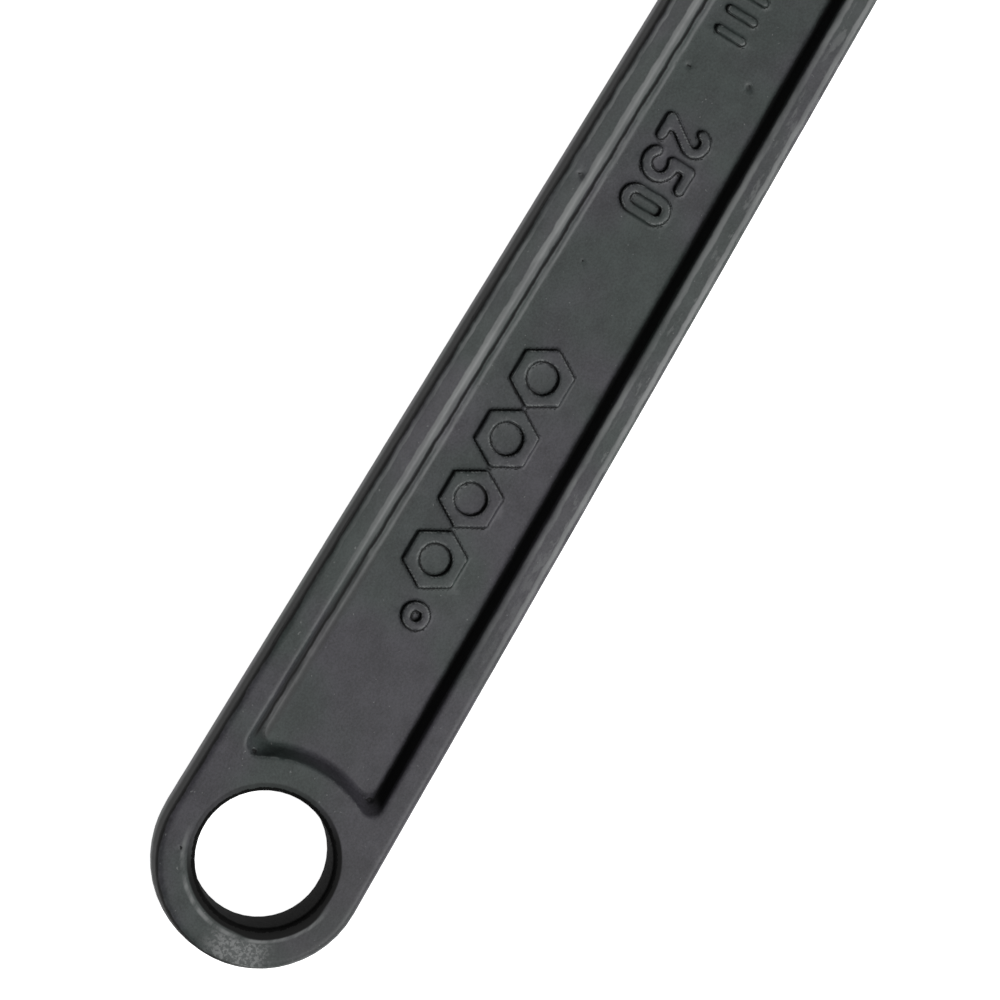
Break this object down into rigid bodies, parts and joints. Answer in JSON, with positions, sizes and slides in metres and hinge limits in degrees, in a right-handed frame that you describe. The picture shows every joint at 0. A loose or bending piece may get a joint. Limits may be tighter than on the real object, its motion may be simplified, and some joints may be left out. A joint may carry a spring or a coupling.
{
  "type": "adjustable wrench",
  "caption": "Adjustable wrench with a recessed tapered handle, a hanging hole and a movable jaw driven by a thumb worm.",
  "frame": {"origin": "centre of the hanging hole, at mid-thickness", "axes": "+X along the handle towards the head, +Z out of the face with the raised marks, +Y towards the movable jaw's side"},
  "size_m": [0.2555, 0.0625, 0.017],
  "materials": {
    "black_forging": "drop-forged steel with a black phosphate coat, matt, worn on the edges",
    "jaw_steel": "forged steel with a black phosphate coat",
    "knurl_steel": "turned steel, blackened, bright on the knurled crests",
    "pin_steel": "turned steel, oiled",
    "spring_steel": "spring wire"
  },
  "bodies": {
    "frame": {"body": "black_forging", "knurl_pin": "pin_steel", "knurl_spring": "spring_steel"},
    "jaw": {"movable_jaw": "jaw_steel"},
    "knurl": {"adjusting_knurl": "knurl_steel"}
  },
  "joints": [
    {"name": "jaw_slide", "type": "slide", "parent": "frame", "child": "jaw", "axis": [-0.3827, 0.9239, 0], "range_m": [-0.01297, 0.01597]},
    {"name": "knurl_spin", "type": "hinge", "parent": "frame", "child": "knurl", "pos_m": [0.19318, -0.00649, 0], "axis": [-0.3827, 0.9239, 0], "range_deg": [-1280, 1040]}
  ],
  "couplings": [
    {"joint": "knurl_spin", "follows": "jaw_slide", "rad_per_m": -1396.3}
  ]
}
